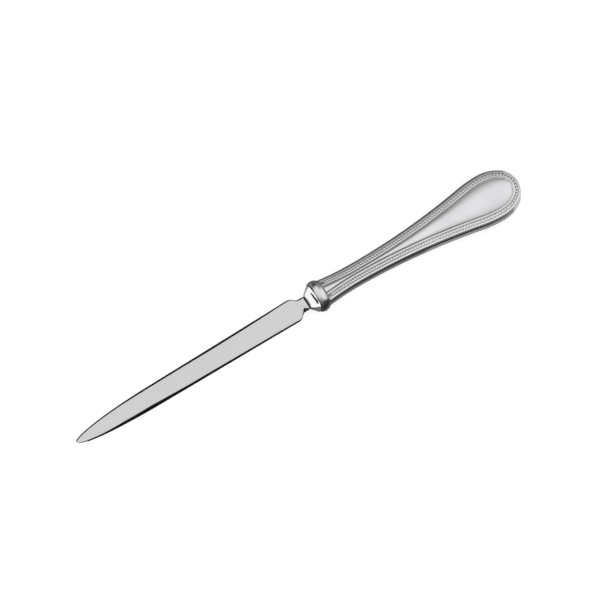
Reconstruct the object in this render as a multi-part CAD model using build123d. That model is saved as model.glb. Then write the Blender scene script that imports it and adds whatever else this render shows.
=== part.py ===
from build123d import *
import math
import os

# A hollow-handled letter opener lies flat along X, its tip towards -X and its butt towards +X.
# The origin is under the middle of its box. All sizes are in millimetres, angles in degrees.

# Lengths along the axis, from the tip to the butt
BLADE_LENGTH = 104.4
SHOULDER_LENGTH = 4.4
NECK_LENGTH = 1.7
BOLSTER_LENGTH = 4.1
COLLAR_LENGTH = 4.2
HANDLE_LENGTH = 92.3

# Blade: an elliptical point, gently widening edges and drawn-in shoulders
NOSE_LENGTH = 41.0
NOSE_WIDTH = 8.8
SHOULDER_WIDTH = 9.7
NECK_WIDTH = 5.65
TIP_THICKNESS = 1.5
NECK_THICKNESS = 2.0
EDGE_THICKNESS = 0.6
BEVEL_WIDTH = 0.6
TIP_BEVEL = 2.2
BLADE_SET = 1.5

# Bolster: an oval trumpet forged on the blade, and the tang behind it
BOLSTER_FRONT_THICKNESS = 3.8
BOLSTER_STATIONS = 6
LIP_STEP = 1.0
TANG_LENGTH = 46.0
TANG_WIDTH = 4.2
TANG_THICKNESS = 2.8
TANG_END_WIDTH = 3.0
TANG_END_THICKNESS = 2.0

# Collar: a domed ring between the bolster and the handle's mouth
COLLAR_STAND = 1.0
COLLAR_CREST = 2.0
COLLAR_FRONT_DROP = 0.6
COLLAR_BACK_DROP = 0.75
SPIGOT_LENGTH = 3.0

# Handle outline, seen from above
WAIST_FROM_MOUTH = 15.0
MOUTH_FLARE = 0.9
BUTT_WIDTH = 20.8
BUTT_LENGTH = 13.4
BUTT_FULLNESS = 0.5
BUTT_SIDE_RADIUS = 54.0

# Handle section: the moulding's widths across the border, from the seam inwards
SIDE_WIDTH = 1.0
RIM_WIDTH = 0.65
THREAD_GAP = 0.2
THREAD_WIDTH = 0.7
GROOVE_WIDTH = 0.5
PANEL_WAIST = 0.6

# Handle section: heights
BORDER_HEIGHT = 4.55
RIM_STEP = 0.6
RIM_LIFT = 0.08
CHANNEL_DEPTH = 0.25
THREAD_LIFT = 0.16
GROOVE_DEPTH = 0.25
PANEL_RISE = 0.3
PANEL_CROWN = 0.35
SHELL_WALL = 0.8

# Beads, closer together and smaller towards the mouth
BEAD_PITCH_BUTT = 1.36
BEAD_PITCH_MOUTH = 1.07
BEAD_GAP = 0.1
BEAD_MARGIN = 0.05
BEAD_STAND = 0.05
BEAD_FOOT = 0.3
BEAD_END = 1.2

# Inside the handle
SOLDER_DEPTH = 0.45
SOLDER_HEIGHT = 1.0
FILL_LEVELS = (0.0, 25.0, 50.0, 70.0, 90.0)

# Fits
SPIGOT_CLEARANCE = 0.1
TANG_CLEARANCE = 0.1
FILL_CLEARANCE = 0.1

# Extra stock that is trimmed off at the mouth
MOUTH_TRIM = 2.0

# Stations along X
FORGING_LENGTH = BLADE_LENGTH + SHOULDER_LENGTH + NECK_LENGTH + BOLSTER_LENGTH
FORGING_REACH = FORGING_LENGTH * math.cos(math.radians(BLADE_SET))
OVERALL_LENGTH = FORGING_REACH + COLLAR_LENGTH + HANDLE_LENGTH
X_COLLAR = FORGING_REACH - OVERALL_LENGTH / 2
X_MOUTH = X_COLLAR + COLLAR_LENGTH
X_BUTT = X_MOUTH + HANDLE_LENGTH
X_WAIST = X_MOUTH + WAIST_FROM_MOUTH
X_WIDEST = X_BUTT - BUTT_LENGTH
X_FILL = X_MOUTH + SPIGOT_LENGTH + FILL_CLEARANCE

# The border takes up everything between the seam and the panel
CHANNEL_WIDTH = BEAD_PITCH_BUTT - BEAD_GAP + 2 * BEAD_MARGIN
RIM_INSET = SIDE_WIDTH + RIM_WIDTH
BEAD_INSET = RIM_INSET + CHANNEL_WIDTH / 2
CHANNEL_INSET = RIM_INSET + CHANNEL_WIDTH
THREAD_INSET = CHANNEL_INSET + THREAD_GAP
GROOVE_INSET = THREAD_INSET + THREAD_WIDTH
BORDER_WIDTH = GROOVE_INSET + GROOVE_WIDTH
PANEL_LAP = PANEL_WAIST / 4

# Half widths and half thicknesses that several pieces share
WAIST_HALF = BORDER_WIDTH + PANEL_WAIST / 2
MOUTH_HALF = WAIST_HALF + MOUTH_FLARE
BUTT_HALF = BUTT_WIDTH / 2
PANEL_TOP = BORDER_HEIGHT + PANEL_RISE
COLLAR_HALF = MOUTH_HALF + COLLAR_STAND
COLLAR_HALF_THICK = PANEL_TOP + COLLAR_STAND
LIP_HALF = COLLAR_HALF - LIP_STEP
LIP_HALF_THICK = COLLAR_HALF_THICK - LIP_STEP

# The outline's tangent arcs: mouth and waist bow inwards, side, corner and end bow outwards
FLARE_RUN = X_WIDEST - X_WAIST
FLARE_ANGLE = 2 * math.degrees(math.atan((BUTT_HALF - WAIST_HALF) / FLARE_RUN))
WAIST_RADIUS = FLARE_RUN / math.sin(math.radians(FLARE_ANGLE)) - BUTT_SIDE_RADIUS
MOUTH_RADIUS = (WAIST_FROM_MOUTH**2 + MOUTH_FLARE**2) / (2 * MOUTH_FLARE)
OVAL_RADIUS = BUTT_HALF**2 / BUTT_LENGTH
END_RADIUS = OVAL_RADIUS + BUTT_FULLNESS * (BUTT_HALF - OVAL_RADIUS)
CORNER_SPAN = BUTT_LENGTH**2 + BUTT_HALF**2 - 2 * BUTT_LENGTH * END_RADIUS
CORNER_RADIUS = CORNER_SPAN / (2 * (BUTT_HALF - END_RADIUS))
CORNER_RATIO = (CORNER_RADIUS - BUTT_HALF) / (BUTT_LENGTH - END_RADIUS)
CORNER_ANGLE = math.degrees(math.atan(CORNER_RATIO))


def arc(centre, radius, start, end):
    """An arc about a centre between two angles, drawn through its middle."""
    angles = [math.radians(a) for a in (start, (start + end) / 2, end)]
    points = [(centre[0] + radius * math.cos(a), centre[1] + radius * math.sin(a)) for a in angles]
    return ThreePointArc(*points)


def near_arcs(inset, x_start):
    """The outline's arcs on the -Y side, moved inwards by inset: centre, radius, start and end angle."""
    mouth_radius = MOUTH_RADIUS + inset
    mouth_lean = math.degrees(math.asin((X_WAIST - x_start) / mouth_radius))
    return [
        ((X_WAIST, -WAIST_HALF - MOUTH_RADIUS), mouth_radius, 90 + mouth_lean, 90),
        ((X_WAIST, -WAIST_HALF - WAIST_RADIUS), WAIST_RADIUS + inset, 90, 90 - FLARE_ANGLE),
        ((X_WIDEST, BUTT_SIDE_RADIUS - BUTT_HALF), BUTT_SIDE_RADIUS - inset, -90 - FLARE_ANGLE, -90),
        ((X_WIDEST, CORNER_RADIUS - BUTT_HALF), CORNER_RADIUS - inset, -90, -CORNER_ANGLE),
        ((X_BUTT - END_RADIUS, 0), END_RADIUS - inset, -CORNER_ANGLE, 0),
    ]


def handle_edges(inset, x_start):
    """The handle's outline, from the -Y side round the butt to the +Y side."""
    near = [arc(*values) for values in near_arcs(inset, x_start)]
    far = [mirror(edge, about=Plane.XZ) for edge in reversed(near)]
    return near + far


def handle_path(inset, x_start):
    """The outline as an open path that starts and ends at x_start."""
    return Wire([edge for curve in handle_edges(inset, x_start) for edge in curve.edges()])


def handle_face(inset, x_start):
    """The area inside the outline, closed by a straight line at x_start."""
    path = handle_path(inset, x_start)
    return Face(Wire([*path.edges(), Edge.make_line(path @ 1, path @ 0)]))


def border_z(inset):
    """Height of the plain border above the seam: a quarter ellipse that ends at the panel."""
    return BORDER_HEIGHT * math.sqrt(1 - (1 - inset / BORDER_WIDTH) ** 2)


def cavity_z(inset):
    """Height of the shell's inner face above the seam."""
    share = (BORDER_WIDTH - inset) / (BORDER_WIDTH - SHELL_WALL)
    return (BORDER_HEIGHT - SHELL_WALL) * math.sqrt(1 - share**2)


def channel_z(inset):
    """Height of the bead channel's flat floor, which slopes with the border."""
    low = border_z(RIM_INSET) - CHANNEL_DEPTH
    high = border_z(CHANNEL_INSET) - CHANNEL_DEPTH
    return low + (high - low) * (inset - RIM_INSET) / CHANNEL_WIDTH


def turned_section(section, values):
    """One stretch of moulding: a section, drawn as inset and height, turned about an arc's centre."""
    centre, radius, start, end = values
    turn = math.radians(start)
    outwards = Vector(math.cos(turn), math.sin(turn), 0)
    clockwise = end < start
    inwards = outwards if clockwise else -outwards
    place = Plane(
        origin=Vector(*centre, 0) + outwards * radius,
        x_dir=inwards,
        z_dir=inwards.cross(Vector(0, 0, 1)),
    )
    axis = Axis((*centre, 0), (0, 0, -1 if clockwise else 1))
    return revolve(place * section, axis=axis, revolution_arc=abs(end - start))


def moulding(edges, x_start):
    """A section carried along the whole outline, arc by arc, and mirrored to the far side."""
    section = make_face(edges)
    stretches = [turned_section(section, values) for values in near_arcs(0, x_start)]
    near = stretches[0] + stretches[1:]
    return near + mirror(near, about=Plane.XZ)


def border_moulding():
    """The rounded side, rim, bead channel, thread and groove that frame the panel."""
    side_top = (SIDE_WIDTH, border_z(SIDE_WIDTH))
    thread_slope = THREAD_WIDTH / 4
    lap_inset = BORDER_WIDTH + PANEL_LAP
    groove_z = BORDER_HEIGHT - GROOVE_DEPTH
    inner_top = (BORDER_WIDTH, BORDER_HEIGHT - SHELL_WALL)
    side_middle = SIDE_WIDTH / 3
    wall_middle = SHELL_WALL + (BORDER_WIDTH - SHELL_WALL) / 4
    relief = [
        side_top,
        (SIDE_WIDTH, side_top[1] + RIM_STEP),
        (RIM_INSET, border_z(RIM_INSET) + RIM_LIFT),
        (RIM_INSET, channel_z(RIM_INSET)),
        (CHANNEL_INSET, channel_z(CHANNEL_INSET)),
        (CHANNEL_INSET, border_z(CHANNEL_INSET)),
        (THREAD_INSET, border_z(THREAD_INSET)),
        (THREAD_INSET + thread_slope, border_z(THREAD_INSET) + THREAD_LIFT),
        (GROOVE_INSET - thread_slope, border_z(GROOVE_INSET) + THREAD_LIFT),
        (GROOVE_INSET, border_z(GROOVE_INSET)),
        (GROOVE_INSET, groove_z),
        (lap_inset, groove_z),
        (lap_inset, inner_top[1]),
        inner_top,
    ]
    edges = [
        ThreePointArc((0, 0), (side_middle, border_z(side_middle)), side_top),
        Polyline(*relief),
        ThreePointArc(inner_top, (wall_middle, cavity_z(wall_middle)), (SHELL_WALL, 0)),
        Line((SHELL_WALL, 0), (0, 0)),
    ]
    return moulding(edges, X_MOUTH - MOUTH_TRIM)


def panel_plate():
    """The plain panel inside the border, gently crowned across the handle."""
    floor_z = BORDER_HEIGHT - SHELL_WALL
    half_width = BUTT_HALF - BORDER_WIDTH
    crown_radius = (half_width**2 + PANEL_CROWN**2) / (2 * PANEL_CROWN)
    plate = extrude(handle_face(BORDER_WIDTH, X_MOUTH - MOUTH_TRIM), SHELL_WALL + PANEL_RISE)
    barrel = Cylinder(crown_radius, 2 * OVERALL_LENGTH, rotation=(0, 90, 0))
    return (Pos(0, 0, floor_z) * plate) & (Pos(0, 0, PANEL_TOP - crown_radius) * barrel)


def bead_places():
    """Each bead's distance along its row, as a share of the row, with its radius."""
    half_row = handle_path(BEAD_INSET, X_MOUTH).length / 2
    places = []
    reach = 0.0
    while reach < half_row - BEAD_END:
        pitch = BEAD_PITCH_BUTT + (BEAD_PITCH_MOUTH - BEAD_PITCH_BUTT) * reach / half_row
        radius = (pitch - BEAD_GAP) / 2
        shares = {0.5 + side * reach / half_row / 2 for side in (-1, 1)}
        places.extend((share, radius) for share in sorted(shares))
        reach += pitch
    return places


def bead(radius):
    """One bead: a half ball on a short round foot, which is let into the channel's floor."""
    outline = [
        Polyline((0, BEAD_STAND + radius), (0, -BEAD_FOOT), (radius, -BEAD_FOOT), (radius, BEAD_STAND)),
        CenterArc((0, BEAD_STAND), radius, 0, 90),
    ]
    return revolve(Plane.XZ * make_face(outline), axis=Axis.Z)


def bead_row():
    """Beads along the middle of the channel, square to its floor, round the butt and down both sides."""
    row = handle_path(BEAD_INSET, X_MOUTH)
    slope = math.atan2(channel_z(CHANNEL_INSET) - channel_z(RIM_INSET), CHANNEL_WIDTH)
    beads = []
    for share, radius in bead_places():
        along = row % share
        inwards = Vector(-along.Y, along.X, 0)
        upwards = Vector(0, 0, math.cos(slope)) - inwards * math.sin(slope)
        foot = row @ share + Vector(0, 0, channel_z(BEAD_INSET))
        beads.append(Plane(origin=foot, x_dir=along, z_dir=upwards) * bead(radius))
    return beads


def front_shell():
    """The upper stamped half of the hollow handle."""
    blank = border_moulding() + panel_plate()
    trim_size = 2 * (MOUTH_TRIM + BUTT_WIDTH)
    trim = Pos(X_MOUTH - trim_size / 2, 0, 0) * Box(trim_size, trim_size, trim_size)
    return (blank - trim) + bead_row()


def seam_solder():
    """The fillet of solder that runs along the seam inside the two shells."""
    half_height = SOLDER_HEIGHT / 2
    lean = BORDER_WIDTH - SHELL_WALL
    lean -= lean * math.sqrt(1 - (half_height / (BORDER_HEIGHT - SHELL_WALL)) ** 2)
    corners = [
        (SHELL_WALL, 0),
        (SHELL_WALL + lean, -half_height),
        (SHELL_WALL + SOLDER_DEPTH, 0),
        (SHELL_WALL + lean, half_height),
    ]
    return moulding([Polyline(*corners, close=True)], X_FILL)


def fill_half():
    """The upper half of the filling, stepped in towards its top to follow the shell."""
    first = SHELL_WALL + SOLDER_DEPTH + FILL_CLEARANCE
    depth = BORDER_HEIGHT - SHELL_WALL - FILL_CLEARANCE
    levels = []
    for angle in FILL_LEVELS:
        turn = math.radians(angle)
        inset = first + (BORDER_WIDTH - first) * (1 - math.cos(turn))
        levels.append(Pos(0, 0, depth * math.sin(turn)) * handle_face(inset, X_FILL))
    return loft(levels, ruled=True)


def tapered_bar(grow):
    """The tang, from the bolster's back to its end in the handle, thickened by grow on every side."""
    x_end = X_MOUTH + TANG_LENGTH + grow
    start = Rectangle(TANG_WIDTH + 2 * grow, TANG_THICKNESS + 2 * grow)
    end = Rectangle(TANG_END_WIDTH + 2 * grow, TANG_END_THICKNESS + 2 * grow)
    return loft([cross_plane(X_COLLAR) * start, cross_plane(x_end) * end])


def cross_plane(x):
    """A plane square to the axis, with its own X along the width."""
    return Plane(origin=(x, 0, 0), x_dir=(0, 1, 0), z_dir=(1, 0, 0))


def cement_fill():
    """The cement that fills the handle and grips the tang."""
    half = fill_half()
    return half + mirror(half, about=Plane.XY) - tapered_bar(TANG_CLEARANCE)


def blade_face(bevel, tip_bevel):
    """The blade's outline, drawn in by the bevel, with the tip at the origin."""
    shoulder_x = BLADE_LENGTH
    neck_x = shoulder_x + SHOULDER_LENGTH
    root_x = neck_x + NECK_LENGTH + BOLSTER_LENGTH / 2
    middle_x = (shoulder_x + neck_x) / 2
    nose = NOSE_WIDTH / 2 - bevel
    shoulder = SHOULDER_WIDTH / 2 - bevel
    neck = NECK_WIDTH / 2 - bevel
    upper = [
        Line((root_x, neck), (neck_x, neck)),
        Bezier((neck_x, neck), (middle_x, neck), (middle_x, shoulder), (shoulder_x, shoulder)),
        Line((shoulder_x, shoulder), (NOSE_LENGTH, nose)),
    ]
    nose_length = NOSE_LENGTH - tip_bevel
    point = EllipticalCenterArc((NOSE_LENGTH, 0), nose_length, nose, start_angle=90, arc_size=180)
    lower = [mirror(edge, about=Plane.XZ) for edge in reversed(upper)]
    root = Line((root_x, -neck), (root_x, neck))
    return make_face([*upper, point, *lower, root])


def blade_body():
    """The flat two-edged blade: a thin blunt edge, narrow bevels and faces that taper to the tip."""
    outline = blade_face(0, 0)
    taper = math.atan((NECK_THICKNESS - TIP_THICKNESS) / 2 / FORGING_LENGTH)
    face_plane = Plane(
        origin=(0, 0, TIP_THICKNESS / 2),
        x_dir=(math.cos(taper), 0, math.sin(taper)),
        z_dir=(-math.sin(taper), 0, math.cos(taper)),
    )
    edge_top = Pos(0, 0, EDGE_THICKNESS / 2) * outline
    cheek = loft([edge_top, face_plane * blade_face(BEVEL_WIDTH, TIP_BEVEL)], ruled=True)
    body = extrude(outline, EDGE_THICKNESS / 2, both=True) + cheek + mirror(cheek, about=Plane.XY)
    set_to_handle = Pos(X_COLLAR, 0, 0) * Rot(0, 0, BLADE_SET) * Pos(-FORGING_LENGTH, 0, 0)
    return set_to_handle * body


def bolster():
    """An oval trumpet that flares from the neck to the lip against the collar."""
    sections = []
    for station in range(BOLSTER_STATIONS):
        share = station / (BOLSTER_STATIONS - 1)
        flare = share**2 * (3 - 2 * share)
        half_width = NECK_WIDTH / 2 + (LIP_HALF - NECK_WIDTH / 2) * flare
        half_thick = BOLSTER_FRONT_THICKNESS / 2
        half_thick += (LIP_HALF_THICK - half_thick) * flare
        x = X_COLLAR - BOLSTER_LENGTH * (1 - share)
        sections.append(cross_plane(x) * Ellipse(half_width, half_thick))
    return loft(sections)


def blade():
    """Blade, bolster and tang, forged in one piece."""
    return blade_body() + bolster() + tapered_bar(0)


def collar():
    """The domed ring at the handle's mouth, with its spigot and the slot for the tang."""
    x_crest = X_COLLAR + COLLAR_CREST
    crest = (x_crest, COLLAR_HALF)
    front_radius = (COLLAR_CREST**2 + COLLAR_FRONT_DROP**2) / (2 * COLLAR_FRONT_DROP)
    back_run = COLLAR_LENGTH - COLLAR_CREST
    back_radius = (back_run**2 + COLLAR_BACK_DROP**2) / (2 * COLLAR_BACK_DROP)
    front_lean = math.degrees(math.asin(COLLAR_CREST / front_radius))
    back_lean = math.degrees(math.asin(back_run / back_radius))
    front = (X_COLLAR, COLLAR_HALF - COLLAR_FRONT_DROP)
    back = (X_MOUTH, COLLAR_HALF - COLLAR_BACK_DROP)
    profile = [
        Polyline((X_MOUTH, 0), (X_COLLAR, 0), front),
        arc((x_crest, crest[1] - front_radius), front_radius, 90 + front_lean, 90),
        arc((x_crest, crest[1] - back_radius), back_radius, 90, 90 - back_lean),
        Line(back, (X_MOUTH, 0)),
    ]
    ring = revolve(make_face(profile), axis=Axis.X)
    ring = scale(ring, by=(1, 1, COLLAR_HALF_THICK / COLLAR_HALF))
    slot = Rectangle(TANG_WIDTH + 2 * TANG_CLEARANCE, TANG_THICKNESS + 2 * TANG_CLEARANCE)
    depth = COLLAR_LENGTH + SPIGOT_LENGTH
    return ring + spigot() - extrude(cross_plane(X_COLLAR) * slot, depth)


def spigot():
    """The oval plug on the collar's back that centres it in the handle's mouth."""
    spread = MOUTH_RADIUS**2 - (WAIST_FROM_MOUTH - SPIGOT_LENGTH) ** 2
    outline_half = WAIST_HALF + MOUTH_RADIUS - math.sqrt(spread)
    half_width = outline_half - SHELL_WALL - SPIGOT_CLEARANCE
    half_thick = BORDER_HEIGHT - SHELL_WALL - SPIGOT_CLEARANCE
    return extrude(cross_plane(X_MOUTH) * Ellipse(half_width, half_thick), SPIGOT_LENGTH)


def main():
    """Builds every piece, lifts it onto the resting plane and writes one file each."""
    os.makedirs("parts", exist_ok=True)
    shell = front_shell()
    pieces = {
        "blade": blade(),
        "collar": collar(),
        "front_shell": shell,
        "back_shell": mirror(shell, about=Plane.XY),
        "seam_solder": seam_solder(),
        "cement_fill": cement_fill(),
    }
    lift = Pos(0, 0, COLLAR_HALF_THICK)
    for name, piece in pieces.items():
        placed = lift * piece
        placed.label = name
        export_step(placed, f"parts/{name}.step")
        print(name, len(placed.solids()), "solid", round(placed.volume, 1), "mm3")


main()
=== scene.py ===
# %% [markdown]
# # A letter opener with a beaded hollow handle
# The real opener has a mirror-polished, two-edged blade with a flared bolster, a domed collar and
# a satin silver handle made of two stamped halves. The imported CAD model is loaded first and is
# never changed. Each piece below is built in the same place, in metres, and takes the place of
# one CAD node, so nothing has to be fitted by eye.

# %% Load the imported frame
import math

import bmesh
import bpy
from mathutils import Matrix, Vector


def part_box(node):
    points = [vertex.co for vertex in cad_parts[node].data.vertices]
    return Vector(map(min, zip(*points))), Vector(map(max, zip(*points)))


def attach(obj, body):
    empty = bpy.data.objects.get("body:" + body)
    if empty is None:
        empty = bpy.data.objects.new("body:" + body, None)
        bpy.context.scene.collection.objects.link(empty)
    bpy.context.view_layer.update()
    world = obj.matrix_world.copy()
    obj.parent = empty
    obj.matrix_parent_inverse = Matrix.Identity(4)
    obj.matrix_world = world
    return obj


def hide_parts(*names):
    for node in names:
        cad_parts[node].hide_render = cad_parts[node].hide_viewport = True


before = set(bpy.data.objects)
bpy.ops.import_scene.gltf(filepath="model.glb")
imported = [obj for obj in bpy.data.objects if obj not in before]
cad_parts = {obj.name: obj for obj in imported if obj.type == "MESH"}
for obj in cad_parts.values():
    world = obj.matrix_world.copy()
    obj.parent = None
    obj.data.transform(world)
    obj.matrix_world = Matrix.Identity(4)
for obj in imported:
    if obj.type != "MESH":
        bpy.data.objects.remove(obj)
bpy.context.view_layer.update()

# %% [markdown]
# The overall places are read from the CAD nodes' boxes, so the dressed pieces follow the frame:
# where the collar begins, where the handle's mouth and butt are, and how high the plane of the
# seam lies. Work is done in millimetres, because the details are fractions of one, and a mesh is
# scaled to metres when it is made.

# %% Places along the opener
MM = 0.001
collar_box = [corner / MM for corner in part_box("collar")]
shell_box = [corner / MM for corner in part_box("front_shell")]
X_COLLAR = collar_box[0].x
X_MOUTH = shell_box[0].x
X_BUTT = shell_box[1].x
SEAM_Z = shell_box[0].z
BUTT_HALF = shell_box[1].y
COLLAR_HALF = collar_box[1].y
COLLAR_HALF_THICK = collar_box[1].z - SEAM_Z
print("collar at", round(X_COLLAR, 2), "mouth at", round(X_MOUTH, 2), "butt at", round(X_BUTT, 2))

# %% [markdown]
# ## The camera
# The opener was photographed from above with a long lens, so its edges hardly converge. An
# orthographic camera gives that look: its view is set by a direction, a roll and a scale. The
# direction leans 16.5 degrees towards the tip and 11 degrees towards the near edge, and the
# picture is turned until the handle rises to the right.

# %% Camera
# Side of the picture in pixels, and millimetres to a pixel
PICTURE = 600
PIXEL = 0.394
LEAN_TO_TIP = math.radians(16.5)
LEAN_TO_EDGE = math.radians(11.0)
HANDLE_RISE = math.radians(29.69)
COLLAR_PIXEL = (314.2, 298.4)
CAMERA_DISTANCE = 0.6

to_camera = Vector((
    -math.sin(LEAN_TO_TIP),
    -math.cos(LEAN_TO_TIP) * math.sin(LEAN_TO_EDGE),
    math.cos(LEAN_TO_TIP) * math.cos(LEAN_TO_EDGE),
))
along = (Vector((1, 0, 0)) - to_camera * to_camera.x).normalized()
across = to_camera.cross(along)
picture_right = along * math.cos(HANDLE_RISE) - across * math.sin(HANDLE_RISE)
picture_up = along * math.sin(HANDLE_RISE) + across * math.cos(HANDLE_RISE)
collar_point = Vector((X_COLLAR, 0, SEAM_Z)) * MM
column, row = COLLAR_PIXEL
to_middle = picture_right * (PICTURE / 2 - column) + picture_up * (row - PICTURE / 2)
middle = collar_point + to_middle * PIXEL * MM

camera_data = bpy.data.cameras.new("camera")
camera_data.type = "ORTHO"
camera_data.ortho_scale = PICTURE * PIXEL * MM
camera = bpy.data.objects.new("camera", camera_data)
axes = Matrix((picture_right, picture_up, to_camera)).transposed()
camera.matrix_world = Matrix.Translation(middle + to_camera * CAMERA_DISTANCE) @ axes.to_4x4()
bpy.context.scene.collection.objects.link(camera)
bpy.context.scene.camera = camera
bpy.context.scene.view_settings.view_transform = "Standard"
print("camera looks from", [round(v, 3) for v in to_camera])

# %% [markdown]
# ## The studio
# Polished metal shows the room around it, so the room is most of the picture. A white floor and a
# white sky make the ground of the picture, and a soft box over the tip adds a soft shadow. Cards
# stand and lie along both sides, as a photographer of silver sets them. The dark ones draw the
# dark lines along the edges, and a white one beyond the tip gives the bolster its shine. A dark
# flag beyond each end deepens the gaps between the beads. The cards are seen only in reflections.
# The floor is part lit surface and part glow, so it stays white and keeps the shadow.

# %% Floor and sky
GROUND_REACH = 4000
GROUND_GREY = 0.62
GROUND_GLOW = 0.55
SKY_LEVEL = 0.81


def grey(level):
    """An opaque grey colour."""
    return level, level, level, 1


def node_tree(owner):
    """The node tree of a material or world, emptied."""
    owner.use_nodes = True
    tree = owner.node_tree
    tree.nodes.clear()
    return tree


def add(tree, kind, **values):
    """A new node with plain properties set by name and inputs set by socket name in a dict."""
    node = tree.nodes.new(kind)
    inputs = values.pop("inputs", {})
    for name, value in values.items():
        setattr(node, name, value)
    for name, value in inputs.items():
        node.inputs[name].default_value = value
    return node


def backdrop_rays(tree):
    """1 for the rays that should see the white ground: camera, glossy and transmission rays."""
    path = add(tree, "ShaderNodeLightPath")
    first = add(tree, "ShaderNodeMath", operation="MAXIMUM")
    second = add(tree, "ShaderNodeMath", operation="MAXIMUM")
    tree.links.new(path.outputs["Is Camera Ray"], first.inputs[0])
    tree.links.new(path.outputs["Is Glossy Ray"], first.inputs[1])
    tree.links.new(first.outputs[0], second.inputs[0])
    tree.links.new(path.outputs["Is Transmission Ray"], second.inputs[1])
    return second.outputs[0]


def floor_material():
    """White ground: half is lit and takes the shadow, half glows for the rays that see it."""
    material = bpy.data.materials.new("white_ground")
    tree = node_tree(material)
    lit = add(tree, "ShaderNodeBsdfDiffuse", inputs={"Color": grey(GROUND_GREY)})
    glow = add(tree, "ShaderNodeEmission", inputs={"Color": grey(1)})
    strength = add(tree, "ShaderNodeMath", operation="MULTIPLY", inputs={1: GROUND_GLOW})
    both = add(tree, "ShaderNodeAddShader")
    output = add(tree, "ShaderNodeOutputMaterial")
    tree.links.new(backdrop_rays(tree), strength.inputs[0])
    tree.links.new(strength.outputs[0], glow.inputs["Strength"])
    tree.links.new(lit.outputs[0], both.inputs[0])
    tree.links.new(glow.outputs[0], both.inputs[1])
    tree.links.new(both.outputs[0], output.inputs["Surface"])
    return material


def card(name, corners, material):
    """A flat stage card through its corners, given in millimetres."""
    mesh = bpy.data.meshes.new(name)
    mesh.from_pydata([Vector(corner) * MM for corner in corners], [], [range(len(corners))])
    mesh.materials.append(material)
    thing = bpy.data.objects.new(name, mesh)
    bpy.context.scene.collection.objects.link(thing)
    return thing


ground_corners = [
    (side_x * GROUND_REACH, side_y * GROUND_REACH, 0)
    for side_x, side_y in ((-1, -1), (1, -1), (1, 1), (-1, 1))
]
card("ground", ground_corners, floor_material())

world = bpy.data.worlds.new("white_room")
bpy.context.scene.world = world
tree = node_tree(world)
room = add(tree, "ShaderNodeBackground", inputs={"Color": grey(1), "Strength": SKY_LEVEL})
output = add(tree, "ShaderNodeOutputWorld")
tree.links.new(room.outputs[0], output.inputs["Surface"])
print("floor and sky are ready")

# %% Soft box and cards
NEAR_WALL = -250
FAR_WALL = 250
CARD_LIFT = 0.3
LENS_X = -445

# Name, line it stands on, ends along the opener, foot and top, and grey of each card at the sides
STANDING_CARDS = [
    ("near_wall", NEAR_WALL, (-60, 420), (0, 190), 0.01),
    ("near_wall_step", NEAR_WALL, (-30, 115), (190, 290), 0.01),
    ("near_wall_tip", NEAR_WALL, (-250, -60), (0, 120), 0.02),
    ("near_flag", -200, (-170, -40), (110, 420), 0.05),
    ("far_wall_blade", FAR_WALL, (-60, 115), (0, 165), 0.01),
    ("far_wall_tip", FAR_WALL, (-240, -60), (0, 150), 0.02),
    ("far_wall_foot", FAR_WALL, (115, 420), (0, 60), 0.2),
    ("far_wall_rim", FAR_WALL, (115, 420), (60, 230), 0.2),
    ("far_wall_low", FAR_WALL, (115, 420), (230, 300), 0.27),
    ("far_wall_middle", FAR_WALL, (115, 420), (300, 430), 0.34),
    ("far_wall_high", FAR_WALL, (115, 420), (430, 600), 0.58),
]

# Name, corners on the floor and grey of each card that lies beside the opener
LYING_CARDS = [
    ("near_floor_blade", [(-100, -3.5), (-2, -3.5), (-2, -9), (-100, -30)], 0.02),
    ("near_floor_shoulder", [(-2, -3.2), (4, -3.2), (4, -9), (-2, -9)], 0.02),
    ("near_floor_bolster", [(4, -2.5), (9, -3.5), (9, -9), (4, -9)], 0.2),
    ("near_floor_side", [(-8, -10.3), (-2, -9), (9, -9), (9, -22), (-12, -22)], 0.2),
    ("near_floor_flank", [(-12, -22), (9, -22), (9, -250), (-300, -250)], 0.02),
    ("near_floor_waist", [(9, -4.5), (60, -5.5), (60, -18), (9, -16)], 0.2),
    ("near_floor_butt", [(60, -5.5), (98, -8.2), (105, -17), (113, -30), (60, -18)], 0.3),
    ("near_floor_end", [(98, -8.2), (125, -10), (125, -32.8), (113, -30), (105, -17)], 0.62),
    ("near_floor_outer", [(9, -16), (60, -18), (420, -100), (420, -250), (9, -250)], 0.02),
    ("far_floor_bolster", [(-6, 2.5), (9, 4), (9, 22), (-6, 22)], 0.4),
    ("far_floor_handle", [(9, 5), (125, 10), (420, 250), (9, 250)], 0.1),
]

# Name, place along the opener, ends across it, foot and top, and grey of each card at the ends
END_CARDS = [
    ("tip_panel", -450, (-350, 450), (0, 800), 1.2),
    ("tip_flag", -448, (-250, 250), (400, 700), 0.05),
    ("butt_flag", 450, (-250, 250), (70, 240), 0.05),
]

# Outline of the dark card before the tip's panel, which draws the stroke on the bolster
LENS_OUTLINE = [
    (-155, 22), (-60, 38), (60, 38), (130, 44), (180, 48), (130, 64), (60, 72), (-60, 68),
]


def soft_box(name, place, aim, size, power):
    """A lamp at a place, turned to shine at a point. The metal doesn't show it."""
    data = bpy.data.lights.new(name, "AREA")
    data.shape = "RECTANGLE"
    data.size, data.size_y = (side * MM for side in size)
    data.energy = power
    lamp = bpy.data.objects.new(name, data)
    lamp.location = Vector(place) * MM
    lamp.rotation_euler = (Vector(place) - Vector(aim)).to_track_quat("Z", "Y").to_euler()
    lamp.visible_glossy = False
    bpy.context.scene.collection.objects.link(lamp)


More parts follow.
